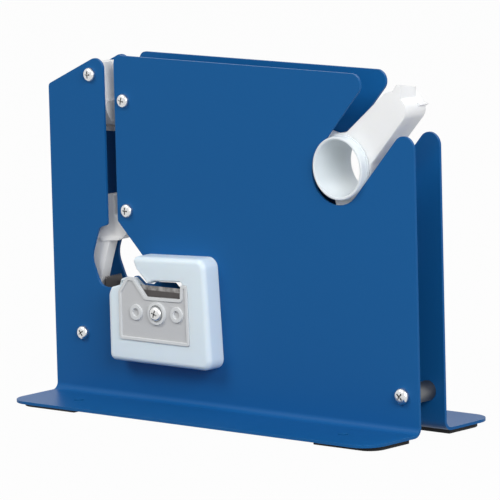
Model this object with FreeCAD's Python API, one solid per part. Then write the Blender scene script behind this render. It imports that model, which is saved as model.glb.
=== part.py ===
# Bag neck tape sealer with a film trimmer: two bent sheet plates held apart by screwed spacers.
# Row frame: +X along the plates, away from the neck slot. +Y from the trimmer side to the back. +Z up.
# The origin is at the middle of the base, on the surface the pads stand on. Millimetres.
import FreeCAD, Part
import math, os

os.makedirs("parts", exist_ok=True)
V = FreeCAD.Vector

# ---- driving dimensions: plates ----
LEN = 200.0          # length of the plates along X
TOP = 149.4          # height of the plates' top edge above the table
SHEET = 1.2          # sheet steel thickness
GAP = 15.4           # space between the two plates
REACH = 32.0         # flange reach, from the plate's outer face
BEND_R = 3.0         # inner radius of the flange bend
FLANGE_R = 10.0      # corner radius of the flanges
PAD_T = 2.0          # rubber pad thickness
PAD_LEN = 32.0       # length of a pad along the plate
MOUNT_IN = 27.0      # bolt holes, from the plates' ends
MOUNT_Y = 25.0       # bolt holes, from the middle plane
MOUNT_R = 2.25
# from the left edge of the plates, height from their top edge or, below the slot, from the table
SLOT_L, SLOT_R = 31.4, 37.6          # sides of the bag neck slot
COLUMN_DROP = 14.4                   # the left column's slanted top starts this far below the top edge
COLUMN_RISE = 15.1                   # rise of the slanted top up to the slot
SLOT_END = 78.8                      # height at which the slot opens into the window
SILL = 50.0          # height of the trimmer throat's floor: window and trimmer hang on it
WINDOW_LEFT = ((31.4, 26.6, 1.2), (26.4, 25.0, 3.5), (21.6, 11.8, 10.0), (26.8, -0.3, 5.0))
WINDOW_RIGHT = ((78.0, -0.3, 2.0), (78.0, 10.5, 5.0), (55.7, 10.5, 2.0))
FRONT_SILL = ((38.5, -0.3, 2.0), (47.4, 6.6, 2.2), (54.2, 1.4, 0.5), (58.6, 4.4, 0.6), (68.6, 4.8, 0.6),
              (74.6, -0.3, 0.4))     # hump and tab that stiffen the trimmer side's window
# ---- spacers and screws ----
SPACER_R = 3.2
FOOT_SPACER_R = 4.2  # the lower right spacer is thicker
DEPTH = 6.4          # thread depth at each end of a spacer
SCREW_R = 1.5        # M3 shank
HEAD_R, HEAD_H = 3.0, 2.1            # pan head
S1_AT, S2_AT = (24.2, -9.0), (42.9, -19.0)       # from the left edge and the top edge
S3_AT, S4_AT = (43.4, 83.6), (16.2, 29.0)        # from the left edge and the table
S5_AT = (-8.4, 18.4)                             # from the right edge and the table
# ---- clearances ----
RUN = 0.05           # radial running clearance of a turning piece
FREE = 0.5           # side clearance beside a moving piece
SEAT = 0.02          # gap under seated pieces
HOLE_PLAY = 0.15     # radial play of a screw in a plate hole
FIT = 0.12           # play of the blade holder in its pocket
# ---- tape hub ----
HUB_ANGLE = 48.5     # slant of the hub slot, degrees
HUB_SLOT_AT = (-41.0, -41.6)         # centre of the slot's round end, from the right and the top edge
RAISED = 3.1         # the hub stands this far up its slot
TUBE_R, TUBE_WALL = 13.1, 1.2
SLOT_PLAY = 0.2      # play of the tube in its slot, per side
TUBE_FRONT, TUBE_BACK = 2.2, 3.8     # how far the tube stands out of the plates
SHOULDER, SHOULDER_T = 0.5, 0.8      # height and width of the ring in front of the wheel
GROOVE = 0.45        # depth of the clip's groove
WHEEL_W, BOSS_WALL, ROOT_R = 13.0, 1.1, 3.0
ARM_ANGLE = 45.0     # slant of the first arm, degrees
ARM = ((0.0, 10.1), (42.95, 6.3, 6.0), (42.95, -6.9, 5.5), (0.0, -9.15))         # along the arm, across it
FIN = ((40.0, 3.6), (42.45, 4.48), (45.56, 5.18), (47.04, 3.7), (43.01, -0.33), (40.0, -0.3))
FIN_DEPTH, FIN_DROP = 10.1, 1.8      # the fin's length along the axis and the fall of its edge
PRONG = ((40.0, -4.6), (41.25, -4.65), (43.93, -5.64), (43.01, -3.59), (40.0, -3.2))
PRONG_DEPTH = 5.0
# ---- film trimmer, from the left edge and the sill ----
HOUSE_T = 9.0        # thickness of the housing
POCKET_T = 1.3       # depth of the pocket that takes the blade holder
HOUSE = ((38.5, -29.5, 3.0), (38.5, 15.4, 3.0), (93.0, 17.8, 4.6), (95.4, -29.5, 4.6))
HOUSE_ROUND, THROAT_ROUND = 2.4, 0.9
THROAT = ((30.0, -19.2), (40.8, 1.9, 1.5), (45.6, 3.3, 0.8), (46.4, 5.9, 0.8), (49.6, 7.0, 1.2),
          (53.7, 7.0, 1.2), (60.0, -0.9, 0.8), (80.4, -0.9, 1.2), (80.4, 7.2, 1.2), (64.4, 6.3, 1.0),
          (61.5, 4.9, 0.8), (55.1, 10.9, 1.0), (53.0, 15.3, 1.6), (62.0, 18.3), (62.0, 40.0), (30.0, 40.0))
LUG_CUT = ((44.4, 9.0), (44.4, 4.0), (47.6, 6.0, 1.6), (53.6, 1.4), (59.9, -0.8), (60.6, 0.2), (54.4, 9.0))
HOLDER = ((45.3, -19.7, 1.3), (45.3, 0.6, 2.0), (50.0, 7.0, 1.2), (53.8, 7.0, 0.9), (60.5, -0.6, 0.8),
          (79.8, -0.1, 0.8), (80.2, 6.0, 0.6), (83.7, 6.0, 0.8), (84.3, -19.7, 1.3))
HOLDER_RIM, RIM_W = 0.5, 1.3         # height and width of the holder's raised border
PEG_BOSS_R, SCREW_BOSS_R = 3.3, 4.8
DIMPLE_R, DIMPLE = 1.7, 0.8          # shallow dimple in each peg boss
PEG_R, PEG_WALL = 1.9, 0.8           # locating pegs of the housing, hollow from behind
PEG_FLOOR = 1.4                      # thickness left in front of a peg's hollow
PEGS_AT = ((55.0, -7.6), (77.7, -6.8))
TRIM_AT, TRIM_HEAD_R = (66.6, -7.2), 3.2         # trimmer screw
BLADE_L, BLADE_R, BLADE_DROP, BLADE_RISE = 55.4, 81.6, 13.5, 4.1
BLADE_T, BEVEL, EDGE_T = 0.5, 2.4, 0.12
NUT_R, NUT_T = 3.15, 2.4
# ---- levers in the left column ----
UPPER_Y, UPPER_W = -2.0, 6.0         # front face and width of the upper lever
LOWER_Y, LOWER_W = -5.0, 5.0
UPPER = ((21.2, -4.2, 2.0), (31.1, -3.6, 1.2), (31.1, -31.5, 0.2), (26.0, -25.1, 14.0), (24.4, -16.2, 3.0),
         (19.4, -10.8, 2.0))         # from the left edge and the top edge
HEAD = ((21.0, -31.0), (31.0, -31.0), (31.0, -3.6, 0.9), (21.2, -4.2, 2.0), (19.4, -10.8, 2.0))
LEAN, LEAN_H = 0.9, 5.0              # the head's flat side leans back by this much over its top
BELLY = ((-7.7, -19.5), (-7.2, -22.6), (-6.2, -25.4), (-4.6, -27.9), (-2.0, -30.8), (-2.0, -32.0),
         (-7.7, -32.0))              # y and drop of what is taken off below the head's curved front
LOWER_BOSS_R = 6.0
RIDGE = ((31.0, -18.6), (31.6, -20.2), (31.0, -20.9))                # thumb ridge on the head's flat side
RIDGE_Y = (-6.2, -2.0)
SOLE = ((19.6, -33.6, 0.8), (30.9, -33.6, 0.6), (30.9, -31.7, 0.2), (19.6, -31.7, 0.2))
SOLE_WEB = ((19.6, -33.0, 0.8), (30.9, -33.0), (30.9, -30.0), (25.0, -17.0), (19.6, -16.0, 1.0))
WEB_T = 1.1
LOWER = ((11.4, 31.0), (12.6, 58.0, 9.0), (17.4, 70.5, 6.0), (25.0, 77.0, 5.0), (27.8, 80.4, 2.0),
         (27.8, 89.4, 2.2), (32.2, 89.4, 0.9), (32.2, 80.6, 1.5), (39.2, 72.9, 0.8), (35.4, 70.2, 0.8),
         (29.6, 69.9, 0.8), (26.4, 60.9, 30.0), (21.6, 45.0, 8.0), (20.8, 31.0))
LEDGE = ((24.4, 68.8, 0.4), (35.2, 69.9, 0.4), (35.4, 71.2, 0.4), (24.2, 70.3, 0.4))
LEDGE_T = 0.6
# ---- torsion springs, from the left edge: wire, coil, and the ends of their legs ----
WIRE_R, COIL_R, PITCH = 0.3, 4.2, 0.72
LEG1_AT, ANCHOR1_AT = (28.4, -20.9), (14.6, -15.2)
LEG4_AT, ANCHOR4_AT = (20.6, 47.5), (7.6, 40.0)
# ---- tape rollers and tape cutter ----
ROLLER2_R, ROLLER3_R, WAIST, BEAD = 5.0, 5.4, 0.5, 1.2
BLOCK = ((23.4, -12.4, 1.0), (23.4, -1.6, 1.0), (55.0, -1.6, 1.0), (55.0, -12.4, 1.0))
CUTTER_AT = ((34.0, -7.0), (48.0, -7.0))         # its two screws, from the left edge and the sill
STRIP_X, STRIP_T = 26.4, 0.6
STRIP_Y, STRIP_W = -6.0, 10.6        # its front end and its width
STRIP_LOW, STRIP_HIGH, TOOTH, TEETH = -8.9, 2.6, 1.1, 8

# ---- derived ----
HALF = LEN / 2
IN = GAP / 2                         # inner face of a plate
OUT = IN + SHEET                     # outer face of a plate
EDGE = OUT + REACH                   # free edge of a flange
SLOT_W2 = TUBE_R + SLOT_PLAY         # half width of the hub slot
UX, UZ = math.cos(math.radians(HUB_ANGLE)), math.sin(math.radians(HUB_ANGLE))


def point(p, x0, z0):
    """A point or outline corner given from a datum, in the row frame."""
    return (x0 + p[0], z0 + p[1]) + tuple(p[2:])


def outline(points, x0, z0):
    return [point(p, x0, z0) for p in points]


S1, S2 = point(S1_AT, -HALF, TOP), point(S2_AT, -HALF, TOP)
S3, S4, S5 = point(S3_AT, -HALF, 0), point(S4_AT, -HALF, 0), point(S5_AT, HALF, 0)
PEGS, TRIM = outline(PEGS_AT, -HALF, SILL), point(TRIM_AT, -HALF, SILL)
CUTTER_SCREWS = outline(CUTTER_AT, -HALF, SILL)
ANCHOR1, ANCHOR4 = point(ANCHOR1_AT, -HALF, TOP), point(ANCHOR4_AT, -HALF, 0)
HUB_SLOT = point(HUB_SLOT_AT, HALF, TOP)
HUB = (HUB_SLOT[0] + RAISED * UX, HUB_SLOT[1] + RAISED * UZ)
MOUTH = (HUB_SLOT[0] - SLOT_W2 * UZ, HUB_SLOT[1] + SLOT_W2 * UX)     # a point on the upper edge
LOWER_SIDE = (HUB_SLOT[0] + SLOT_W2 * UZ, HUB_SLOT[1] - SLOT_W2 * UX)
TOP_CORNER = MOUTH[0] + (TOP - MOUTH[1]) * UX / UZ
TIP_Z = LOWER_SIDE[1] + (HALF - LOWER_SIDE[0]) * UZ / UX


def wire(points, y=0.0):
    """Closed outline in the XZ plane at depth y, from (x, z, corner radius)."""
    n = len(points)
    ends = []
    for i in range(n):
        x, z, r = (tuple(points[i]) + (0.0,))[:3]
        p = V(x, y, z)
        a, b = points[i - 1], points[(i + 1) % n]
        da = (V(a[0], y, a[1]) - p).normalize()
        db = (V(b[0], y, b[1]) - p).normalize()
        if r <= 0:
            ends.append((p, None, p))
            continue
        ang = da.getAngle(db)
        t = r / math.tan(ang / 2)
        mid = (da + db).normalize()
        c = p + mid * (r / math.sin(ang / 2))
        ends.append((p + da * t, c - mid * r, p + db * t))
    edges = []
    for i in range(n):
        s, m, e = ends[i]
        if m is not None:
            edges.append(Part.Arc(s, m, e).toShape())
        nxt = ends[(i + 1) % n][0]
        if (nxt - e).Length > 1e-6:
            edges.append(Part.makeLine(e, nxt))
    return Part.Wire(edges)


def slab(points, y0, y1):
    """The outline as a slab from y0 to y1."""
    return Part.Face(wire(points, y0)).extrude(V(0, y1 - y0, 0))


def bar(points, x0, x1):
    """A section of (y, z) corners, drawn out along X."""
    corners = [V(x0, y, z) for y, z in points]
    return Part.Face(Part.makePolygon(corners + corners[:1])).extrude(V(x1 - x0, 0, 0))


def rod(at, r, y0, y1):
    """Cylinder along Y."""
    return Part.makeCylinder(r, y1 - y0, V(at[0], y0, at[1]), V(0, 1, 0))


def ring(at, ro, ri, y0, y1):
    return rod(at, ro, y0, y1).cut(rod(at, ri, y0 - 1, y1 + 1))


def box(x0, x1, y0, y1, z0, z1):
    return Part.makeBox(x1 - x0, y1 - y0, z1 - z0, V(x0, y0, z0))


def mirrored(shape):
    return shape.mirror(V(0, 0, 0), V(0, 1, 0))


def soften(shape, r, test):
    """Rounds the edges that test picks; leaves the shape as it is where they can't be rounded."""
    picked = [e for e in shape.Edges if test(e)]
    try:
        out = shape.makeFillet(r, picked)
        return out if out.isValid() and out.Volume > 0 else shape
    except Exception:
        return shape


def save(name, shape):
    if len(shape.Solids) == 1:
        shape = shape.Solids[0]
    shape.exportStep("parts/%s.step" % name)


# ---- side plates: an L section with a generous bend, trimmed to the plate's outline ----
def plate(sill):
    """A plate with its flange towards -Y; sill is the course of the window's lower edge."""
    zc, yc, ro = PAD_T + SHEET + BEND_R, -(OUT + BEND_R), BEND_R + SHEET
    k = math.sqrt(0.5)
    p = lambda y, z: V(-HALF, y, z)
    section = Part.Wire([
        Part.makeLine(p(-IN, TOP), p(-IN, zc)),
        Part.Arc(p(-IN, zc), p(yc + ro * k, zc - ro * k), p(yc, zc - ro)).toShape(),
        Part.makeLine(p(yc, PAD_T), p(-EDGE, PAD_T)),
        Part.makeLine(p(-EDGE, PAD_T), p(-EDGE, PAD_T + SHEET)),
        Part.makeLine(p(-EDGE, PAD_T + SHEET), p(yc, PAD_T + SHEET)),
        Part.Arc(p(yc, PAD_T + SHEET), p(yc + BEND_R * k, zc - BEND_R * k), p(-OUT, zc)).toShape(),
        Part.makeLine(p(-OUT, zc), p(-OUT, TOP)),
        Part.makeLine(p(-OUT, TOP), p(-IN, TOP)),
    ])
    sheet = Part.Face(section).extrude(V(LEN, 0, 0))
    left, right = SLOT_L - HALF, SLOT_R - HALF
    side = [(-HALF, -1), (-HALF, TOP - COLUMN_DROP, 2), (left, TOP - COLUMN_DROP + COLUMN_RISE, 4.5)]
    for part in (WINDOW_LEFT, sill, WINDOW_RIGHT):
        side += outline(part, -HALF, SILL)
    side += [(right, SLOT_END, 1.2), (right, TOP, 3.5), (TOP_CORNER, TOP, 4.6), MOUTH, LOWER_SIDE,
             (HALF, TIP_Z, 5.3), (HALF, -1)]
    body = sheet.common(slab(side, -EDGE - 1, 1))
    body = body.cut(rod(HUB_SLOT, SLOT_W2, -OUT - 1, -IN + 1))
    plan = box(-HALF, HALF, -EDGE, EDGE, -1, TOP + 1)
    plan = plan.makeFillet(FLANGE_R, [e for e in plan.Edges if abs(e.Vertexes[0].Z - e.Vertexes[-1].Z) > TOP])
    body = body.common(plan)
    for at in (S1, S2, S3, S4, S5):
        body = body.cut(rod(at, SCREW_R + HOLE_PLAY, -OUT - 1, -IN + 1))
    for x in (MOUNT_IN - HALF, HALF - MOUNT_IN):
        body = body.cut(Part.makeCylinder(MOUNT_R, PAD_T + SHEET + 1, V(x, -MOUNT_Y, 0)))
    return body


front = plate(FRONT_SILL)
for at in PEGS:
    front = front.cut(rod(at, PEG_R + HOLE_PLAY, -OUT - 1, -IN + 1))
save("front_plate", front.cut(rod(TRIM, SCREW_R + HOLE_PLAY, -OUT - 1, -IN + 1)))

back = mirrored(plate(()))
for at in CUTTER_SCREWS:
    back = back.cut(rod(at, SCREW_R + HOLE_PLAY, IN - 1, OUT + 1))
for at in (ANCHOR1, ANCHOR4):
    back = back.cut(rod(at, WIRE_R + HOLE_PLAY, IN - 1, OUT + 1))
save("back_plate", back)


# ---- spacers: threaded at both ends, some of them the pivots of levers and rollers ----
def spacer(at, r):
    s = rod(at, r, -IN + SEAT, IN - SEAT)
    for a, b in ((-IN - 1, -IN + DEPTH), (IN - DEPTH, IN + 1)):
        s = s.cut(rod(at, SCREW_R + SEAT, a, b))
    return s.makeChamfer(0.3, [e for e in s.Edges if e.Length > 2 * math.pi * r - 0.1
                               and abs(abs(e.Vertexes[0].Y) - IN + SEAT) < 0.01])


save("spacer_slot_left", spacer(S1, SPACER_R))
save("spacer_slot_right", spacer(S2, SPACER_R))
save("spacer_centre", spacer(S3, SPACER_R))
save("spacer_foot_left", spacer(S4, SPACER_R))
save("spacer_foot_right", spacer(S5, FOOT_SPACER_R))


def pan_screw(at, seat_y, length, head_r=HEAD_R, head_h=HEAD_H):
    """Cross-head pan screw from the -Y side, its head seated at seat_y, the shank going to +Y."""
    prof = Part.Wire([
        Part.makeLine(V(0, -head_h, 0), V(head_r * 0.45, -head_h, 0)),
        Part.Arc(V(head_r * 0.45, -head_h, 0), V(head_r * 0.86, -head_h * 0.74, 0),
                 V(head_r, -head_h * 0.22, 0)).toShape(),
        Part.makeLine(V(head_r, -head_h * 0.22, 0), V(head_r, 0, 0)),
        Part.makeLine(V(head_r, 0, 0), V(SCREW_R, 0, 0)),
        Part.makeLine(V(SCREW_R, 0, 0), V(SCREW_R, length - 0.5, 0)),
        Part.makeLine(V(SCREW_R, length - 0.5, 0), V(SCREW_R - 0.5, length, 0)),
        Part.makeLine(V(SCREW_R - 0.5, length, 0), V(0, length, 0)),
        Part.makeLine(V(0, length, 0), V(0, -head_h, 0)),
    ])
    s = Part.Face(prof).revolve(V(0, 0, 0), V(0, 1, 0), 360)
    arm, wide, deep = head_r * 1.15, head_r * 0.24, head_h * 0.62
    cross = box(-arm / 2, arm / 2, -head_h - 1, -head_h + deep, -wide / 2, wide / 2)
    cross = cross.fuse(box(-wide / 2, wide / 2, -head_h - 1, -head_h + deep, -arm / 2, arm / 2))
    s = s.cut(cross)
    # each drive cross stands at an angle of its own
    s.rotate(V(0, 0, 0), V(0, 1, 0), 20 + 37 * (at[0] + at[1]))
    s.translate(V(at[0], seat_y, at[1]))
    return s


PLATE_SCREW = SHEET + DEPTH - 0.6    # the shank ends just short of the thread's end
fronts = [pan_screw(at, -OUT - SEAT, PLATE_SCREW) for at in (S1, S2, S3, S4)]
fronts.append(pan_screw(S5, -OUT - SEAT, PLATE_SCREW, HEAD_R * 1.17))
save("front_screws", Part.makeCompound(fronts))
save("back_screws", Part.makeCompound([mirrored(s) for s in fronts]))


# ---- rubber pads under the four flange ends, each with a relief hole for the table screw ----
def pad(sx, sy):
    x0, x1 = HALF - PAD_LEN - 2.0, HALF - 2.0
    y0, y1 = OUT + BEND_R + SHEET, EDGE - 5.0
    p = box(x0, x1, y0, y1, 0, PAD_T - SEAT)
    outer = [e for e in p.Edges if all(abs(v.X - x1) < 0.01 and abs(v.Y - y1) < 0.01 for v in e.Vertexes)]
    p = p.makeFillet(FLANGE_R - 3.0, outer)
    p = p.cut(Part.makeCylinder(MOUNT_R + 0.8, PAD_T + 2, V(HALF - MOUNT_IN, MOUNT_Y, -1)))
    if sx < 0:
        p = p.mirror(V(0, 0, 0), V(1, 0, 0))
    return p if sy > 0 else mirrored(p)


save("pad_front_left", pad(-1, -1))
save("pad_front_right", pad(1, -1))
save("pad_back_left", pad(-1, 1))
save("pad_back_right", pad(1, 1))

# ---- film trimmer on the front plate: housing, blade holder, blade, screw and nut ----
FACE = -(OUT + HOUSE_T)              # front face of the housing
FLOOR = FACE + POCKET_T              # floor of the pocket
blade_l, blade_r = BLADE_L - HALF, BLADE_R - HALF
blade_low, blade_top = SILL - BLADE_DROP, SILL + BLADE_RISE
HOLDER_PATH = outline(HOLDER, -HALF, SILL)



def on_face(e):
    """The edges of the housing's front face."""
    return all(abs(v.Y - FACE) < 1e-4 for v in e.Vertexes)


housing = soften(slab(outline(HOUSE, -HALF, SILL), FACE, -OUT - SEAT), HOUSE_ROUND, on_face)
throat = Part.Face(wire(outline(THROAT, -HALF, SILL), FACE - 1)).extrude(V(0, HOUSE_T + 2, 0))
housing = soften(housing.cut(throat), THROAT_ROUND, lambda e: on_face(e) and throat.distToShape(
    Part.Vertex(e.valueAt((e.FirstParameter + e.LastParameter) / 2)))[0] < 1e-4)
# behind the pocket the left lug is a low hump
housing = housing.cut(slab(outline(LUG_CUT, -HALF, SILL), FLOOR, 0))
pocket = Part.Face(wire(HOLDER_PATH, FACE - 2)).makeOffset2D(FIT).extrude(V(0, POCKET_T + 2, 0))
housing = housing.cut(pocket)
housing = housing.cut(box(blade_l - FIT, blade_r + FIT, FLOOR - 1, FLOOR + BLADE_T,
                          blade_low - FIT, blade_top + FIT))
for at in PEGS:
    housing = housing.fuse(rod(at, PEG_R, -OUT - SHEET, -IN))
    housing = housing.cut(rod(at, PEG_R - PEG_WALL, FLOOR + PEG_FLOOR, -IN + 1))
save("trimmer_housing", housing.cut(rod(TRIM, SCREW_R + HOLE_PLAY, FACE - 2, 0)))

face = Part.Face(wire(HOLDER_PATH, FACE - HOLDER_RIM))
holder = face.extrude(V(0, HOLDER_RIM + POCKET_T - SEAT, 0))
holder = holder.cut(face.makeOffset2D(-RIM_W).extrude(V(0, HOLDER_RIM, 0)))
for at in PEGS:
    holder = holder.fuse(rod(at, PEG_BOSS_R, FACE - HOLDER_RIM - 0.3, FACE + 0.5))
holder = holder.fuse(rod(TRIM, SCREW_BOSS_R, FACE - HOLDER_RIM - 0.5, FACE + 0.5))
SEAT_Y = FACE - 0.1                  # floor of the screw's counterbore
holder = holder.cut(rod(TRIM, TRIM_HEAD_R + 0.4, FACE - 3, SEAT_Y))
holder = holder.cut(rod(TRIM, SCREW_R + HOLE_PLAY, FACE - 3, 0))
for at in PEGS:
    holder = holder.cut(rod(at, DIMPLE_R, FACE - 3, FACE - HOLDER_RIM - 0.3 + DIMPLE))
save("blade_holder", holder)

blade = box(blade_l, blade_r, FLOOR + SEAT, FLOOR + BLADE_T - SEAT, blade_low, blade_top)
# ground edge: both faces slope to a narrow land along the top
for s in (-1, 1):
    mid = FLOOR + BLADE_T / 2
    ground = [(mid + s * EDGE_T / 2, blade_top + 0.01), (mid + s * BLADE_T, blade_top + 0.01),
              (mid + s * BLADE_T, blade_top - BEVEL * 2)]
    blade = blade.cut(bar(ground, blade_l - 1, blade_r + 1))
save("trimmer_blade", blade.cut(rod(TRIM, SCREW_R + HOLE_PLAY, FACE, 0)))

TRIM_SCREW = -IN + NUT_T + 0.8 - SEAT_Y
save("trimmer_screw", pan_screw(TRIM, SEAT_Y - SEAT, TRIM_SCREW, TRIM_HEAD_R, HEAD_H))
turns = [math.radians(60 * i) for i in range(6)]
hexagon = [(TRIM[0] + NUT_R * math.cos(a), TRIM[1] + NUT_R * math.sin(a), 0.2) for a in turns]
nut = slab(hexagon, -IN + SEAT, -IN + NUT_T)
save("trimmer_nut", nut.cut(rod(TRIM, SCREW_R + SEAT, -IN - 1, 0)))

# ---- tape hub: a tube that lies in the slots, and a three-armed wheel that turns on it ----
W2 = WHEEL_W / 2
STOP = W2 + 0.1                      # inner faces of the tube's shoulder and of its clip
tube_y = (-OUT - TUBE_FRONT, OUT + TUBE_BACK)
tube = ring(HUB, TUBE_R, TUBE_R - TUBE_WALL, *tube_y)
tube = tube.makeChamfer(0.3, [e for e in tube.Edges if e.Length > 2 * math.pi * (TUBE_R - TUBE_WALL) - 0.1
                              and min(abs(e.Vertexes[0].Y - y) for y in tube_y) < 1e-4])
tube = tube.fuse(ring(HUB, TUBE_R + SHOULDER, TUBE_R - TUBE_WALL / 2, -STOP - SHOULDER_T, -STOP))
save("hub_tube", tube.cut(ring(HUB, TUBE_R + 3, TUBE_R - GROOVE, STOP, STOP + SHOULDER_T)))
clip = ring(HUB, TUBE_R + SHOULDER + 0.2, TUBE_R - GROOVE + SEAT, STOP + SEAT, STOP + SHOULDER_T - SEAT)
# the clip is open at the bottom
CLIP_GAP = 6.4
save("hub_clip", clip.cut(box(HUB[0] - CLIP_GAP / 2, HUB[0] + CLIP_GAP / 2, 0, IN,
                              HUB[1] - 2 * TUBE_R, HUB[1])))


def arm(turn):
    """A tapered arm with its gripping fin and prong, built level and turned up to its place."""
    s = slab(ARM, -W2, W2)
    fin = slab(FIN, -W2, -W2 + FIN_DEPTH)
    fin = fin.fuse(slab(PRONG, W2 - PRONG_DEPTH, W2))
    s = s.fuse(fin)
    s.rotate(V(0, 0, 0), V(0, 1, 0), -ARM_ANGLE)
    # the fin's edge falls towards the back
    top = FIN[2][0] * math.sin(math.radians(ARM_ANGLE)) + FIN[2][1] * math.cos(math.radians(ARM_ANGLE))
    fall = [(-W2 - 1, top + FIN_DROP / FIN_DEPTH), (W2, top - FIN_DROP * WHEEL_W / FIN_DEPTH),
            (W2, top + 9), (-W2 - 1, top + 9)]
    s = s.cut(bar(fall, -1, 2 * ARM[1][0]))
    s.rotate(V(0, 0, 0), V(0, 1, 0), -turn)
    s.translate(V(HUB[0], 0, HUB[1]))
    return s


BOSS_R = TUBE_R + BOSS_WALL
wheel = rod(HUB, BOSS_R, -W2, W2)
for turn in (0, 120, 240):
    wheel = wheel.fuse(arm(turn))
wheel = wheel.removeSplitter()


def at_root(e):
    """The wheel's edges where two arms meet the boss."""
    a, b = e.Vertexes[0].Point, e.Vertexes[-1].Point
    off = math.hypot(a.x - HUB[0], a.z - HUB[1]) - BOSS_R
    return abs(abs(a.y - b.y) - WHEEL_W) < 0.01 and abs(off) < 0.05


wheel = soften(wheel, ROOT_R, at_root)
save("hub_wheel", wheel.cut(rod(HUB, TUBE_R + RUN, -W2 - 1, W2 + 1)))


# ---- levers in the left column, both turning on spacers ----
def lever(at, boss, path, y0, width):
    """A flat lever; its boss, a shape of its own, reaches forward to the front plate."""
    s = slab(path, y0, y0 + width).fuse(boss)
    return s.cut(rod(at, SPACER_R + RUN, -IN, y0 + width + 1)).removeSplitter()


side, crown = HEAD[1][0] - HALF, TOP + HEAD[2][1]
lean = slab([(side, crown - LEAN_H), (side - LEAN, crown + 1), (side + 1, crown + 1)], -IN, UPPER_Y + 1)
head = slab(outline(HEAD, -HALF, TOP), -IN + FREE, UPPER_Y).cut(lean)
head = head.fuse(slab(outline(RIDGE, -HALF, TOP), *RIDGE_Y))
head = head.cut(bar([(y, TOP + drop) for y, drop in BELLY], -HALF, 0))
upper = lever(S1, head, outline(UPPER, -HALF, TOP), UPPER_Y, UPPER_W)
save("upper_lever", upper)
sole = slab(outline(SOLE, -HALF, TOP), UPPER_Y, UPPER_Y + UPPER_W)
sole = sole.fuse(slab(outline(SOLE_WEB, -HALF, TOP), UPPER_Y + UPPER_W - WEB_T, UPPER_Y + UPPER_W))
save("lever_sole", sole.cut(upper))

round_boss = rod(S4, LOWER_BOSS_R, -IN + FREE, LOWER_Y + LOWER_W)
lower = lever(S4, round_boss, outline(LOWER, -HALF, 0), LOWER_Y, LOWER_W)
save("lower_lever", lower.fuse(slab(outline(LEDGE, -HALF, 0), LOWER_Y - LEDGE_T, LOWER_Y + 1)))


# ---- torsion springs behind the levers: a leg on the lever, a leg in a hole of the back plate ----
def leg(a, b):
    """A straight piece of wire with a round knee at its start."""
    run = V(*b) - V(*a)
    return Part.makeCylinder(WIRE_R, run.Length, V(*a), run).fuse(Part.makeSphere(WIRE_R * 1.02, V(*a)))


def torsion(at, halves, lever_y, rest, anchor):
    """Wire spring about Y at a pivot: half turns, each tilted to rise by half the pitch."""
    y0 = lever_y + WIRE_R + SEAT
    tilt = math.asin(PITCH / 4 / COIL_R)
    pieces = []
    for i in range(halves):
        half = Part.makeTorus(COIL_R, WIRE_R, V(0, 0, 0), V(0, 0, 1), 0, 360, 180)
        half.rotate(V(0, 0, 0), V(0, 1, 0), math.degrees(tilt))
        half.rotate(V(0, 0, 0), V(0, 0, 1), 180 * i)
        half.translate(V(0, 0, PITCH / 2 * (i + 0.5)))
        half.rotate(V(0, 0, 0), V(1, 0, 0), -90)
        half.translate(V(at[0], y0, at[1]))
        pieces.append(half)
    reach = COIL_R * math.cos(tilt)
    y = [y0 + PITCH / 2 * i for i in range(halves + 1)]
    ends = [(at[0] + reach * (-1) ** i, y[i], at[1]) for i in range(halves + 1)]
    pieces += [Part.makeSphere(WIRE_R * 1.02, V(*p)) for p in ends[1:-1]]
    out = (anchor[0], y[-1], anchor[1])
    pieces += [leg(ends[0], (rest[0], y0, rest[1])), leg(ends[-1], out), leg(out, (out[0], OUT, out[2]))]
    return pieces[0].fuse(pieces[1:])


save("upper_spring", torsion(S1, 5, UPPER_Y + UPPER_W, point(LEG1_AT, -HALF, TOP), ANCHOR1))
save("lower_spring", torsion(S4, 7, LOWER_Y + LOWER_W, point(LEG4_AT, -HALF, 0), ANCHOR4))


# ---- tape rollers on the two spacers to the right of the neck slot ----
def roller(at, r):
    s = ring(at, r, SPACER_R + RUN, -IN + FREE, IN - FREE)
    return s.cut(ring(at, r + 1, r - WAIST, -IN + FREE + BEAD, IN - FREE - BEAD))


save("roller_upper", roller(S2, ROLLER2_R))
save("roller_lower", roller(S3, ROLLER3_R))

# ---- tape cutter: a serrated strip on a moulded block, held by two screws from the back ----
strip_x, low, high = STRIP_X - HALF, SILL + STRIP_LOW, SILL + STRIP_HIGH
block = slab(outline(BLOCK, -HALF, SILL), -IN + SEAT, IN - SEAT)
block = block.cut(box(strip_x - SEAT, strip_x + STRIP_T + SEAT, STRIP_Y - FIT, STRIP_Y + STRIP_W + FIT,
                      low - SEAT, high))
SCREW_IN = 7.0                       # how far the cutter's screws reach into the block
for at in CUTTER_SCREWS:
    block = block.cut(rod(at, SCREW_R + SEAT, IN - SCREW_IN - 1, IN + 1))
save("cutter_block", block)
edge = [(STRIP_Y, low), (STRIP_Y, high)]
for i in range(TEETH):
    y = STRIP_Y + STRIP_W * i / TEETH
    edge += [(y + STRIP_W / TEETH / 2, high + TOOTH), (y + STRIP_W / TEETH, high)]
save("tape_cutter", bar(edge + [(STRIP_Y + STRIP_W, low)], strip_x, strip_x + STRIP_T))
save("cutter_screws", Part.makeCompound(
    [mirrored(pan_screw(at, -OUT - SEAT, SHEET + SCREW_IN)) for at in CUTTER_SCREWS]))
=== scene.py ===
import math
import bmesh
import bpy
from mathutils import Matrix, Vector


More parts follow.
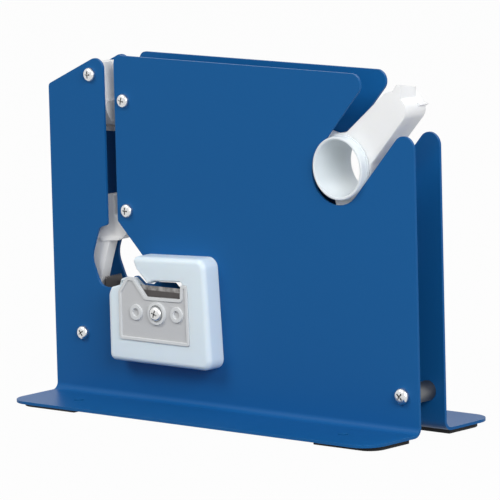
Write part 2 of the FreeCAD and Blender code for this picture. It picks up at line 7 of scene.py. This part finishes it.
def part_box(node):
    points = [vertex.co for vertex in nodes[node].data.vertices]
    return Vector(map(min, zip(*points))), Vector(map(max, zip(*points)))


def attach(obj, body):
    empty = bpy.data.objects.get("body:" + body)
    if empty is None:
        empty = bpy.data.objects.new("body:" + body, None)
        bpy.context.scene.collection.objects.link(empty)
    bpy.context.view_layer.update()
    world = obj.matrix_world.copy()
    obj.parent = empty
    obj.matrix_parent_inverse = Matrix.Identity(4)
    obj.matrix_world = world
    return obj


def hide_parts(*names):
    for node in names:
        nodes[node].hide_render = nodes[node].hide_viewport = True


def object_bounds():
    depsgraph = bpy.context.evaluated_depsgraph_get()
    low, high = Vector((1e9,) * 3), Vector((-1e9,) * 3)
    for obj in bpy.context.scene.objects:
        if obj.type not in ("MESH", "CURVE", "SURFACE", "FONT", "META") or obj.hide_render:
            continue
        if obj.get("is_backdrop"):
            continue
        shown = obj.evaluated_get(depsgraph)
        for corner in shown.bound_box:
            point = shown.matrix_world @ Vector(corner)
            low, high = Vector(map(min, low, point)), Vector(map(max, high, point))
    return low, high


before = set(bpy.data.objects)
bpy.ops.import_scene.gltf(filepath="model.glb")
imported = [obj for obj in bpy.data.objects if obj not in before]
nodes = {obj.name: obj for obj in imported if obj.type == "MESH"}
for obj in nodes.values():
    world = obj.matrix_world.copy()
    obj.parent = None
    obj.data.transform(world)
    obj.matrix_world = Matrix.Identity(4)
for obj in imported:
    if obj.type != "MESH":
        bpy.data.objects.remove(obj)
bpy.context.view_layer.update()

scene = bpy.context.scene

# ---------------------------------------------------------------------------
# Studio: a pale table with no edge in sight, soft lamps, and a long lens at the
# front right that looks down a little.
EYE = Vector((1.55554, -1.79134, 0.43249))
TURN, TILT, LEAN = 40.906, 8.685, -1.453         # degrees: round the object, downwards, and sideways
FOCUS, PICTURE = 5745.8, 500.0                   # focal length and picture width, in pixels
SENSOR = 36.0                                    # mm
turn, tilt, lean = (math.radians(angle) for angle in (TURN, TILT, LEAN))
ahead = Vector((-math.sin(turn) * math.cos(tilt), math.cos(turn) * math.cos(tilt), -math.sin(tilt)))
level = Vector((math.cos(turn), math.sin(turn), 0.0))
above = level.cross(ahead)
right = math.cos(lean) * level + math.sin(lean) * above
up = -math.sin(lean) * level + math.cos(lean) * above
camera_data = bpy.data.cameras.new("view")
camera_data.sensor_width = SENSOR
camera_data.lens = FOCUS / PICTURE * SENSOR
camera = bpy.data.objects.new("view", camera_data)
scene.collection.objects.link(camera)
camera.matrix_world = Matrix((
    (right.x, up.x, -ahead.x, EYE.x),
    (right.y, up.y, -ahead.y, EYE.y),
    (right.z, up.z, -ahead.z, EYE.z),
    (0, 0, 0, 1)))
scene.camera = camera
scene.view_settings.view_transform = "Standard"


def lamp(name, place, target, size, watts, tint=(1, 1, 1)):
    """A soft rectangular lamp aimed at a point."""
    data = bpy.data.lights.new(name, "AREA")
    data.shape = "RECTANGLE"
    data.size, data.size_y = size
    data.energy = watts
    data.color = tint
    ob = bpy.data.objects.new(name, data)
    scene.collection.objects.link(ob)
    ob.location = place
    ob.rotation_euler = (Vector(target) - Vector(place)).to_track_quat("-Z", "Y").to_euler()


lamp("lamp_key", place=(-0.55, -1.15, 1.25), target=(0, 0, 0.07), size=(0.9, 0.7), watts=12.4,
     tint=(1.0, 0.985, 0.96))
lamp("lamp_fill", place=(1.25, -0.70, 0.70), target=(0, 0, 0.08), size=(0.8, 0.8), watts=16.7,
     tint=(0.97, 0.98, 1.0))
lamp("lamp_back", place=(0.15, 1.2, 1.0), target=(0, 0, 0.09), size=(1.2, 0.6), watts=6.3)


def wired(tree, kind, links=(), **settings):
    """A node with its settings, and its inputs by name linked or set."""
    node = tree.nodes.new(kind)
    for key, value in settings.items():
        setattr(node, key, value)
    for key, value in dict(links).items():
        if hasattr(value, "is_linked"):
            tree.links.new(value, node.inputs[key])
        else:
            node.inputs[key].default_value = value
    return node


def calc(tree, operation, a, b=0.0, **settings):
    """What one Math node gives for sockets or numbers."""
    return wired(tree, "ShaderNodeMath", {0: a, 1: b}, operation=operation, **settings).outputs[0]


def shown(tree):
    """1 for rays from the lens, and for those from metal or glass, which show the background too."""
    path = wired(tree, "ShaderNodeLightPath")
    mirrored = calc(tree, "MAXIMUM", path.outputs["Is Glossy Ray"], path.outputs["Is Transmission Ray"])
    return calc(tree, "MAXIMUM", path.outputs["Is Camera Ray"], mirrored)


# the sky is white where it shows, and lights the object with a part of that
WHITE = (1, 1, 1, 1)
SKY_LIGHT = 0.32
world = bpy.data.worlds.new("studio")
scene.world = world
world.use_nodes = True
sky = world.node_tree
sky.nodes.clear()
dim_sky = wired(sky, "ShaderNodeBackground", {"Color": WHITE, "Strength": SKY_LIGHT})
seen_sky = wired(sky, "ShaderNodeBackground", {"Color": WHITE, "Strength": 1.0})
sky_mix = wired(sky, "ShaderNodeMixShader", {0: shown(sky), 1: dim_sky.outputs[0], 2: seen_sky.outputs[0]})
wired(sky, "ShaderNodeOutputWorld", {"Surface": sky_mix.outputs[0]})

# the table is white to the eye, with a trace of the object's shadow, and a matt grey to the light
TABLE_HALF = 30.0
TABLE_GREY = (0.30, 0.30, 0.30, 1)
TABLE_WHITE = 0.975                              # the rest of what shows is the lit grey, with its shadow
corners = [(x * TABLE_HALF, y * TABLE_HALF, 0) for x, y in ((-1, -1), (1, -1), (1, 1), (-1, 1))]
table_mesh = bpy.data.meshes.new("table_top")
table_mesh.from_pydata(corners, [], [(0, 1, 2, 3)])
table_top = bpy.data.objects.new("table_top", table_mesh)
scene.collection.objects.link(table_top)
table_top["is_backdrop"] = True
table_paint = bpy.data.materials.new("pale_table")
table_paint.use_nodes = True
table = table_paint.node_tree
table.nodes.clear()
matt = wired(table, "ShaderNodeBsdfDiffuse", {"Color": TABLE_GREY})
glow = wired(table, "ShaderNodeEmission", {"Color": WHITE, "Strength": 1.0})
share = calc(table, "MULTIPLY", shown(table), TABLE_WHITE)
table_mix = wired(table, "ShaderNodeMixShader", {0: share, 1: matt.outputs[0], 2: glow.outputs[0]})
wired(table, "ShaderNodeOutputMaterial", {"Surface": table_mix.outputs[0]})
table_mesh.materials.append(table_paint)

# ---------------------------------------------------------------------------
# Side plates: two laser-cut and bent steel sheets, powder coated blue. The coat
# has a fine orange peel; its cut edges are a lighter blue, partly thinned coat and partly a painted
# highlight.


def group(name, ins, outs):
    """An empty shader node group with named number inputs and outputs, and its two end nodes."""
    g = bpy.data.node_groups.new(name, "ShaderNodeTree")
    for label, value in ins.items():
        socket = g.interface.new_socket(name=label, in_out="INPUT", socket_type="NodeSocketFloat")
        socket.default_value = value
    for label in outs:
        g.interface.new_socket(name=label, in_out="OUTPUT", socket_type="NodeSocketFloat")
    return g, g.nodes.new("NodeGroupInput"), g.nodes.new("NodeGroupOutput")


# fine grain: noise in the piece's own space, as a height, and a slow mottle as a mask
grain, given, result = group("fine_grain", {"Scale": 900.0, "Mottle Scale": 30.0}, ("Height", "Mottle"))
place = wired(grain, "ShaderNodeTexCoord").outputs["Object"]
fine = wired(grain, "ShaderNodeTexNoise",
             {"Vector": place, "Scale": given.outputs["Scale"], "Detail": 3.0, "Roughness": 0.55})
slow = wired(grain, "ShaderNodeTexNoise",
             {"Vector": place, "Scale": given.outputs["Mottle Scale"], "Detail": 4.0, "Roughness": 0.6})
grain.links.new(fine.outputs["Fac"], result.inputs["Height"])
grain.links.new(slow.outputs["Fac"], result.inputs["Mottle"])

# edge wear and painted edge highlight: only on the faces that the edge attribute marks, and broken up by
# noise
CHIP_SCALE, CHIP_LOW, CHIP_HIGH = 260.0, 0.35, 0.65
wear_and_highlight, given, result = group("edge_wear_and_highlight", {"Amount": 0.5}, ("Mask",))
marked = wired(wear_and_highlight, "ShaderNodeAttribute", attribute_name="worn_and_lit")
place = wired(wear_and_highlight, "ShaderNodeTexCoord").outputs["Object"]
chips = wired(wear_and_highlight, "ShaderNodeTexNoise", {"Vector": place, "Scale": CHIP_SCALE, "Detail": 4.0})
chipped = wired(wear_and_highlight, "ShaderNodeMapRange",
                {"Value": chips.outputs["Fac"], "From Min": CHIP_LOW, "From Max": CHIP_HIGH})
worn_and_lit_chips = calc(wear_and_highlight, "MULTIPLY", marked.outputs["Fac"], chipped.outputs[0])
mask = calc(wear_and_highlight, "MULTIPLY", worn_and_lit_chips, given.outputs["Amount"], use_clamp=True)
wear_and_highlight.links.new(mask, result.inputs["Mask"])


MOTTLE_LOW, MOTTLE_HIGH = 0.3, 0.7               # the part of the mottle that the roughness follows


def finish(name, colour, mottled, worn_and_lit, rough, grain_scale=900.0, mottle_scale=30.0, bump=0.05,
           bump_depth=0.0002, wear_and_highlight_amount=0.5, metallic=0.0, **more):
    """A Principled material: two mottled colours, an edge colour for wear and painted highlight, a range of
    roughness, and a fine grain.
    """
    m = bpy.data.materials.new(name)
    m.use_nodes = True
    t = m.node_tree
    t.nodes.clear()
    g = wired(t, "ShaderNodeGroup", node_tree=grain)
    g.inputs["Scale"].default_value = grain_scale
    g.inputs["Mottle Scale"].default_value = mottle_scale
    w = wired(t, "ShaderNodeGroup", node_tree=wear_and_highlight)
    w.inputs["Amount"].default_value = wear_and_highlight_amount
    tone = wired(t, "ShaderNodeMix", data_type="RGBA")
    tone.inputs["A"].default_value = (*colour, 1)
    tone.inputs["B"].default_value = (*mottled, 1)
    t.links.new(g.outputs["Mottle"], tone.inputs["Factor"])
    edge = wired(t, "ShaderNodeMix", data_type="RGBA")
    t.links.new(tone.outputs["Result"], edge.inputs["A"])
    edge.inputs["B"].default_value = (*worn_and_lit, 1)
    t.links.new(w.outputs["Mask"], edge.inputs["Factor"])
    spread = wired(t, "ShaderNodeMapRange", {
        "Value": g.outputs["Mottle"], "From Min": MOTTLE_LOW, "From Max": MOTTLE_HIGH,
        "To Min": rough[0], "To Max": rough[1]})
    relief = wired(t, "ShaderNodeBump",
                   {"Height": g.outputs["Height"], "Strength": bump, "Distance": bump_depth})
    b = wired(t, "ShaderNodeBsdfPrincipled")
    b.inputs["Metallic"].default_value = metallic
    for key, value in more.items():
        b.inputs[key.replace("_", " ")].default_value = value
    t.links.new(edge.outputs["Result"], b.inputs["Base Color"])
    t.links.new(spread.outputs[0], b.inputs["Roughness"])
    t.links.new(relief.outputs[0], b.inputs["Normal"])
    wired(t, "ShaderNodeOutputMaterial", {"Surface": b.outputs[0]})
    return m


WELD, FLAT = 1e-6, 0.6                           # m between points of one corner, degrees within one face


def dressed(node, paint, body, edge_mm, sharp=38.0, segments=2):
    """A welded copy of a CAD node in its finish, its broken edges marked for the edge colour of wear and
    painted highlight; it stands for the node.
    """
    me = nodes[node].data.copy()
    me.materials.clear()
    bm = bmesh.new()
    bm.from_mesh(me)
    bmesh.ops.remove_doubles(bm, verts=bm.verts, dist=WELD)
    bmesh.ops.dissolve_limit(bm, angle_limit=math.radians(FLAT), verts=bm.verts, edges=bm.edges)
    bm.to_mesh(me)
    bm.free()
    # the second slot only tells the bevel's faces from the rest
    me.materials.append(paint)
    me.materials.append(paint)
    ob = bpy.data.objects.new(node + ".piece", me)
    scene.collection.objects.link(ob)
    if edge_mm:
        bevel = ob.modifiers.new("broken_edge", "BEVEL")
        bevel.width = edge_mm / 1000.0
        bevel.segments = segments
        bevel.limit_method = "ANGLE"
        bevel.angle_limit = math.radians(sharp)
        bevel.use_clamp_overlap = True
        bevel.harden_normals = True
        bevel.material = 1
    me.shade_smooth()
    me.set_sharp_from_angle(angle=math.radians(sharp))
    evaluated = ob.evaluated_get(bpy.context.evaluated_depsgraph_get())
    final = bpy.data.meshes.new_from_object(evaluated)
    ob.modifiers.clear()
    ob.data = final
    broken = [float(face.material_index) for face in final.polygons]
    final.attributes.new("worn_and_lit", "FLOAT", "FACE").data.foreach_set("value", broken)
    final.polygons.foreach_set("material_index", [0] * len(broken))
    final.materials.pop(index=1)
    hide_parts(node)
    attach(ob, body)
    return ob


# the edge colour is a lighter blue: partly thinned coat, partly a painted highlight along the cut edges
blue_coat = finish("blue_powder_coat", colour=(0.0068, 0.100, 0.302), mottled=(0.0075, 0.104, 0.310),
                   worn_and_lit=(0.03, 0.20, 0.46), rough=(0.36, 0.40), grain_scale=1500.0, mottle_scale=14.0,
                   bump=0.05, bump_depth=0.00004, wear_and_highlight_amount=0.45, Specular_IOR_Level=0.12)
dressed("front_plate", blue_coat, "frame", edge_mm=0.2)
dressed("back_plate", blue_coat, "frame", edge_mm=0.2)

# ---------------------------------------------------------------------------
# Foot pads: punched black rubber with a dull, slightly rough skin, glued under
# the four flange ends.
pad_rubber = finish("pad_rubber", colour=(0.004, 0.004, 0.005), mottled=(0.007, 0.007, 0.008),
                    worn_and_lit=(0.03, 0.03, 0.032), rough=(0.75, 0.9), grain_scale=700.0, bump=0.35,
                    bump_depth=0.0003)
for corner in ("front_left", "front_right", "back_left", "back_right"):
    dressed("pad_" + corner, pad_rubber, "frame", edge_mm=0.25)

# ---------------------------------------------------------------------------
# Spacers: turned steel posts, dull zinc plated, threaded at both ends. They hold
# the plates apart, and carry the levers and the tape rollers. Their colour is a painted shade, darker than
# zinc.
POSTS = ("slot_left", "slot_right", "centre", "foot_left", "foot_right")
# the zinc is painted darker than plated zinc, as shade for the posts between the plates
dull_zinc_painted_shade = finish("dull_zinc_painted_shade", colour=(0.15, 0.155, 0.165), mottled=(0.19, 0.195, 0.20),
                   worn_and_lit=(0.4, 0.4, 0.4), rough=(0.42, 0.55), grain_scale=600.0, mottle_scale=120.0,
                   bump=0.06, metallic=1.0)
for post in POSTS:
    dressed("spacer_" + post, dull_zinc_painted_shade, "frame", edge_mm=0.1)

# ---------------------------------------------------------------------------
# Screws: M3 pan heads with a cross recess, bright zinc plated. Ten hold the plates to
# the spacers, two the tape cutter, and one, with a nut, clamps the blade holder.
SCREW = {"Head Radius": 0.0030, "Head Height": 0.0021, "Shank Radius": 0.0015, "Shank Length": 0.0070,
         "Recess Width": 0.00075, "Recess Reach": 0.0037, "Recess Depth": 0.0013}
HEAD_AROUND, HEAD_RINGS, SHANK_AROUND = 40, 12, 20       # facets
RIM_FULL, CROWN_FULL = 0.6, 0.7                          # powers below 1 fill the dome out
HEAD_WELD = 0.00002
TO_CORNER = 0.7071                                       # from a square's side to its corner radius
WING_TOP, WING_FLOOR = 1.12, 0.55                        # the wings' spread above the crown and below
WING_TALL = 2.0                                          # recess depths: the wings stand out of the crown


def pan_head(t, size):
    """A domed head: at the angle a from its top, radius R sin(a)^RIM_FULL, height H cos(a)^CROWN_FULL."""
    grid = wired(t, "GeometryNodeMeshGrid", {"Size X": 1.0, "Size Y": 1.0,
                                             "Vertices X": HEAD_AROUND + 1, "Vertices Y": HEAD_RINGS})
    spot = wired(t, "ShaderNodeSeparateXYZ", {0: t.nodes.new("GeometryNodeInputPosition").outputs[0]})
    around = calc(t, "MULTIPLY", spot.outputs["X"], 2 * math.pi)
    fall = calc(t, "MULTIPLY", calc(t, "ADD", spot.outputs["Y"], 0.5), math.pi / 2)
    reach = calc(t, "MULTIPLY", size["Head Radius"], calc(t, "POWER", calc(t, "SINE", fall), RIM_FULL))
    crown = calc(t, "POWER", calc(t, "MAXIMUM", calc(t, "COSINE", fall), 0.0), CROWN_FULL)
    rolled = wired(t, "ShaderNodeCombineXYZ", {
        "X": calc(t, "MULTIPLY", reach, calc(t, "COSINE", around)),
        "Y": calc(t, "MULTIPLY", reach, calc(t, "SINE", around)),
        "Z": calc(t, "MULTIPLY", size["Head Height"], crown)})
    dome = wired(t, "GeometryNodeSetPosition",
                 {"Geometry": grid.outputs["Mesh"], "Position": rolled.outputs[0]})
    under = wired(t, "GeometryNodeMeshCircle", {"Vertices": HEAD_AROUND, "Radius": size["Head Radius"]},
                  fill_type="NGON")
    turned_down = wired(t, "GeometryNodeTransform",
                        {"Geometry": under.outputs[0], "Rotation": (math.pi, 0, math.pi)})
    shell = t.nodes.new("GeometryNodeJoinGeometry")
    t.links.new(dome.outputs[0], shell.inputs[0])
    t.links.new(turned_down.outputs[0], shell.inputs[0])
    return wired(t, "GeometryNodeMergeByDistance",
                 {"Geometry": shell.outputs[0], "Distance": HEAD_WELD}).outputs[0]


def cross_cut(t, size, head):
    """The head with its cross recess: two tapered wings cut out of the crown."""
    corner = calc(t, "MULTIPLY", size["Recess Reach"], TO_CORNER)
    wing = wired(t, "GeometryNodeMeshCone", {
        "Vertices": 4,
        "Radius Top": calc(t, "MULTIPLY", corner, WING_TOP),
        "Radius Bottom": calc(t, "MULTIPLY", corner, WING_FLOOR),
        "Depth": calc(t, "MULTIPLY", size["Recess Depth"], WING_TALL)})
    squared = wired(t, "GeometryNodeTransform",
                    {"Geometry": wing.outputs[0], "Rotation": (0, 0, math.pi / 4)})
    slim = wired(t, "ShaderNodeCombineXYZ",
                 {"X": 1.0, "Y": calc(t, "DIVIDE", size["Recess Width"], size["Recess Reach"]), "Z": 1.0})
    floor = wired(t, "ShaderNodeCombineXYZ",
                  {"Z": calc(t, "SUBTRACT", size["Head Height"], size["Recess Depth"])})
    one = wired(t, "GeometryNodeTransform", {"Geometry": squared.outputs[0], "Scale": slim.outputs[0],
                                             "Translation": floor.outputs[0]})
    two = wired(t, "GeometryNodeTransform", {"Geometry": one.outputs[0], "Rotation": (0, 0, math.pi / 2)})
    cut = wired(t, "GeometryNodeMeshBoolean", {"Mesh 1": head}, operation="DIFFERENCE")
    t.links.new(one.outputs[0], cut.inputs["Mesh 2"])
    t.links.new(two.outputs[0], cut.inputs["Mesh 2"])
    return cut.outputs["Mesh"]


def shank_below(t, size):
    """A plain shank that hangs down from the seat."""
    shank = wired(t, "GeometryNodeMeshCylinder", {"Vertices": SHANK_AROUND, "Radius": size["Shank Radius"],
                                                  "Depth": size["Shank Length"]})
    down = wired(t, "ShaderNodeCombineXYZ", {"Z": calc(t, "MULTIPLY", size["Shank Length"], -0.5)})
    return wired(t, "GeometryNodeTransform",
                 {"Geometry": shank.outputs[0], "Translation": down.outputs[0]}).outputs[0]


def named(t, label, kind):
    """A named attribute of the seats."""
    return wired(t, "GeometryNodeInputNamedAttribute", {"Name": label}, data_type=kind).outputs["Attribute"]


def screw_tree():
    """Pan screws on loose points: each has its facing, the head's turn, and the head's size."""
    t = bpy.data.node_groups.new("pan_screws", "GeometryNodeTree")
    t.interface.new_socket(name="Geometry", in_out="INPUT", socket_type="NodeSocketGeometry")
    for label, value in SCREW.items():
        socket = t.interface.new_socket(name=label, in_out="INPUT", socket_type="NodeSocketFloat")
        socket.default_value = value
    t.interface.new_socket(name="Material", in_out="INPUT", socket_type="NodeSocketMaterial")
    t.interface.new_socket(name="Geometry", in_out="OUTPUT", socket_type="NodeSocketGeometry")
    size, result = t.nodes.new("NodeGroupInput").outputs, t.nodes.new("NodeGroupOutput")
    head = cross_cut(t, size, pan_head(t, size))
    shank = shank_below(t, size)
    aim = wired(t, "FunctionNodeAlignRotationToVector",
                {"Vector": named(t, "facing", "FLOAT_VECTOR")}, axis="Z")
    spin = wired(t, "FunctionNodeAxisAngleToRotation",
                 {"Axis": (0, 0, 1), "Angle": named(t, "turn", "FLOAT")})
    turned = wired(t, "FunctionNodeRotateRotation", {0: aim.outputs[0], 1: spin.outputs[0]},
                   rotation_space="LOCAL").outputs[0]
    heads = wired(t, "GeometryNodeInstanceOnPoints", {
        "Points": size["Geometry"], "Instance": head, "Rotation": turned,
        "Scale": named(t, "size", "FLOAT")})
    shanks = wired(t, "GeometryNodeInstanceOnPoints", {
        "Points": size["Geometry"], "Instance": shank, "Rotation": turned})
    whole = t.nodes.new("GeometryNodeJoinGeometry")
    t.links.new(heads.outputs[0], whole.inputs[0])
    t.links.new(shanks.outputs[0], whole.inputs[0])
    real = wired(t, "GeometryNodeRealizeInstances", {0: whole.outputs[0]})
    done = wired(t, "GeometryNodeSetMaterial", {"Geometry": real.outputs[0], "Material": size["Material"]})
    t.links.new(done.outputs[0], result.inputs[0])
    return t


pan_screws = screw_tree()
zinc = finish("bright_zinc", colour=(0.66, 0.67, 0.68), mottled=(0.76, 0.76, 0.75),
              worn_and_lit=(0.88, 0.88, 0.87), rough=(0.20, 0.32), grain_scale=600.0, mottle_scale=120.0,
              bump=0.06, metallic=1.0)
MEAN_TURN, TURN_SPREAD = 0.35, 0.9               # each head ends its tightening at an angle of its own
SCATTER_X, SCATTER_Z = 41.0, 1300.0
HEAD_SHARP = 40.0


def screws(node, seats, facing, shank, sizes):
    """Pan screws at the seats, for one CAD node; sizes scale the heads."""
    me = bpy.data.meshes.new(node + ".seats")
    me.from_pydata(seats, [], [])
    turns = [MEAN_TURN + TURN_SPREAD * math.sin(SCATTER_X * x + SCATTER_Z * z) for x, _, z in seats]
    me.attributes.new("facing", "FLOAT_VECTOR", "POINT").data.foreach_set("vector", facing * len(seats))
    me.attributes.new("turn", "FLOAT", "POINT").data.foreach_set("value", turns)
    me.attributes.new("size", "FLOAT", "POINT").data.foreach_set("value", sizes)
    ob = bpy.data.objects.new(node + ".piece", me)
    scene.collection.objects.link(ob)
    modifier = ob.modifiers.new("pan_screws", "NODES")
    modifier.node_group = pan_screws
    wanted = {"Shank Length": shank, "Material": zinc}
    for socket in pan_screws.interface.items_tree:
        if socket.in_out == "INPUT" and socket.name in wanted:
            modifier[socket.identifier] = wanted[socket.name]
    evaluated = ob.evaluated_get(bpy.context.evaluated_depsgraph_get())
    final = bpy.data.meshes.new_from_object(evaluated)
    ob.modifiers.clear()
    ob.data = final
    final.shade_smooth()
    final.set_sharp_from_angle(angle=math.radians(HEAD_SHARP))
    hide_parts(node)
    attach(ob, "frame")


def middle(node):
    """The middle of a CAD node's box."""
    low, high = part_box(node)
    return (low + high) / 2


SHEET, SEAT_GAP = 0.0012, 0.00002                # plate thickness, and the play between two seated faces
CUTTER_SHANK = 0.0082
FORWARD, BACKWARD = (0, -1, 0), (0, 1, 0)
seat_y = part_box("spacer_centre")[1].y + SEAT_GAP + SHEET + SEAT_GAP
axes = [middle("spacer_" + post) for post in POSTS]
head_sizes = [1.0, 1.0, 1.0, 1.0, 1.17]          # the one at foot_right is the next size up
screws("front_screws", [(a.x, -seat_y, a.z) for a in axes], FORWARD, SCREW["Shank Length"], head_sizes)
screws("back_screws", [(a.x, seat_y, a.z) for a in axes], BACKWARD, SCREW["Shank Length"], head_sizes)
low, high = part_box("cutter_screws")
ends = (low.x + SCREW["Head Radius"], high.x - SCREW["Head Radius"])
cutter_seats = [(x, seat_y, (low.z + high.z) / 2) for x in ends]
screws("cutter_screws", cutter_seats, BACKWARD, CUTTER_SHANK, [1.0, 1.0])
low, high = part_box("trimmer_screw")
trimmer_seat = ((low.x + high.x) / 2, low.y + SCREW["Head Height"], (low.z + high.z) / 2)
trimmer_size = (high.x - low.x) / 2 / SCREW["Head Radius"]
screws("trimmer_screw", [trimmer_seat], FORWARD, high.y - trimmer_seat[1], [trimmer_size])
dressed("trimmer_nut", zinc, "frame", edge_mm=0.1)

# ---------------------------------------------------------------------------
# Trimmer housing: a moulded block of milky polyethylene with a throat for the film
# tail and a pocket for the blade holder. Two hollow pegs locate it in the plate.
milky = finish("milky_polyethylene", colour=(0.74, 0.85, 0.93), mottled=(0.78, 0.88, 0.95),
               worn_and_lit=(0.88, 0.93, 0.96), rough=(0.38, 0.5), grain_scale=700.0, mottle_scale=16.0,
               bump=0.08, wear_and_highlight_amount=0.25, Subsurface_Weight=0.25,
               Subsurface_Radius=(0.004, 0.005, 0.006), Subsurface_Scale=0.6)
dressed("trimmer_housing", milky, "frame", edge_mm=0.2, sharp=30.0)

# ---------------------------------------------------------------------------
# Blade holder: a pressed-in cover of light grey plastic with a raised rim, two
# peg bosses and a screw boss. Between them its field is spark-eroded, and a little
# darker. It clamps the blade.
FIELD_DEPTH, FIELD_PLAY = 0.0010, 0.00012        # how far the field lies behind the rim, and within what
FIELD_FACING = -0.9
holder_grey = finish("holder_plastic", colour=(0.66, 0.68, 0.69), mottled=(0.70, 0.72, 0.73),
                     worn_and_lit=(0.78, 0.79, 0.80), rough=(0.4, 0.52), grain_scale=800.0, mottle_scale=60.0,
                     bump=0.10, wear_and_highlight_amount=0.3)
field_grey = finish("holder_field", colour=(0.545, 0.555, 0.57), mottled=(0.585, 0.595, 0.605),
                    worn_and_lit=(0.64, 0.65, 0.66), rough=(0.5, 0.62), grain_scale=800.0, mottle_scale=60.0,
                    bump=0.25)
cover = dressed("blade_holder", holder_grey, "frame", edge_mm=0.15, sharp=30.0)
cover.data.materials.append(field_grey)
field_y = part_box("blade_holder")[0].y + FIELD_DEPTH
for face in cover.data.polygons:
    if face.normal.y < FIELD_FACING and abs(face.center.y - field_y) < FIELD_PLAY:
        face.material_index = 1

# ---------------------------------------------------------------------------
# Blades: the trimmer's ground blade and the tape cutter's toothed strip, both of
# browned tool steel with bright ground edges. The strip sits on a plastic block.
UPWARD = 0.02                                    # the ground faces of the blade lean up by more than this
blade_steel = finish("browned_blade_steel", colour=(0.070, 0.064, 0.064), mottled=(0.105, 0.098, 0.096),
                     worn_and_lit=(0.55, 0.54, 0.53), rough=(0.3, 0.5), grain_scale=500.0, mottle_scale=420.0,
                     bump=0.1, metallic=0.75, wear_and_highlight_amount=0.6)
blade = dressed("trimmer_blade", blade_steel, "frame", edge_mm=0.0, sharp=30.0)
ground = [1.0 if face.normal.z > UPWARD else 0.0 for face in blade.data.polygons]
blade.data.attributes["worn_and_lit"].data.foreach_set("value", ground)
dressed("tape_cutter", blade_steel, "frame", edge_mm=0.03, sharp=30.0)
block_grey = finish("cutter_block_plastic", colour=(0.36, 0.36, 0.37), mottled=(0.42, 0.42, 0.43),
                    worn_and_lit=(0.55, 0.55, 0.55), rough=(0.45, 0.6))
dressed("cutter_block", block_grey, "frame", edge_mm=0.2, sharp=30.0)

# ---------------------------------------------------------------------------
# Tape hub: a milky plastic tube that lies in the plates' slots, a spring clip on
# it, and a white three-armed wheel that turns on it and grips the tape's core.
SOFT_DEPTH = (0.006, 0.006, 0.0065)              # how far light spreads in the hub's plastic, in metres
hub_white = finish("hub_plastic", colour=(0.92, 0.945, 0.96), mottled=(0.935, 0.955, 0.965),
                   worn_and_lit=(0.95, 0.96, 0.965), rough=(0.34, 0.46), grain_scale=600.0, mottle_scale=20.0,
                   bump=0.06, wear_and_highlight_amount=0.2, Subsurface_Weight=0.6, Subsurface_Radius=SOFT_DEPTH,
                   Subsurface_Scale=0.7)
# the tube's plastic is darker and bluer than the wheel's: a painted shade for the inside of the tube
tube_shaded_white = finish("tube_plastic_painted_shade", colour=(0.74, 0.81, 0.86), mottled=(0.77, 0.835, 0.88),
                    worn_and_lit=(0.86, 0.90, 0.93), rough=(0.36, 0.48), grain_scale=600.0, mottle_scale=20.0,
                    bump=0.06, wear_and_highlight_amount=0.2, Subsurface_Weight=0.6, Subsurface_Radius=SOFT_DEPTH,
                    Subsurface_Scale=0.7)
spring_steel = finish("spring_steel", colour=(0.45, 0.45, 0.46), mottled=(0.55, 0.55, 0.55),
                      worn_and_lit=(0.7, 0.7, 0.7), rough=(0.25, 0.4), mottle_scale=300.0, metallic=1.0)
dressed("hub_tube", tube_shaded_white, "hub_axle", edge_mm=0.15, sharp=30.0)
dressed("hub_clip", spring_steel, "hub_axle", edge_mm=0.1, sharp=30.0)
dressed("hub_wheel", hub_white, "hub_wheel", edge_mm=0.5, sharp=30.0, segments=3)

# ---------------------------------------------------------------------------
# Levers: two moulded levers beside the neck slot, each with a wire spring; they
# press the bag's neck against the tape. The upper one carries a grey sole.
lever_grey = finish("lever_plastic", colour=(0.80, 0.80, 0.80), mottled=(0.85, 0.85, 0.85),
                    worn_and_lit=(0.84, 0.84, 0.84), rough=(0.36, 0.5), grain_scale=700.0, mottle_scale=45.0,
                    bump=0.1, wear_and_highlight_amount=0.35)
sole_grey = finish("sole_plastic", colour=(0.60, 0.585, 0.58), mottled=(0.64, 0.625, 0.62),
                   worn_and_lit=(0.68, 0.67, 0.66), rough=(0.5, 0.65))
dressed("upper_lever", lever_grey, "upper_lever", edge_mm=0.3, sharp=30.0)
dressed("lower_lever", lever_grey, "lower_lever", edge_mm=0.3, sharp=30.0)
dressed("lever_sole", sole_grey, "upper_lever", edge_mm=0.15, sharp=30.0)
for spring in ("upper_spring", "lower_spring"):
    coil = nodes[spring]
    coil.data.materials.clear()
    coil.data.materials.append(spring_steel)

# ---------------------------------------------------------------------------
# Tape rollers: white plastic sleeves on the two spacers to the right of the neck
# slot, with a raised collar at each end that keeps the tape in line.
for roller in ("roller_upper", "roller_lower"):
    dressed(roller, hub_white, roller, edge_mm=0.12, sharp=30.0)

low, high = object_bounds()
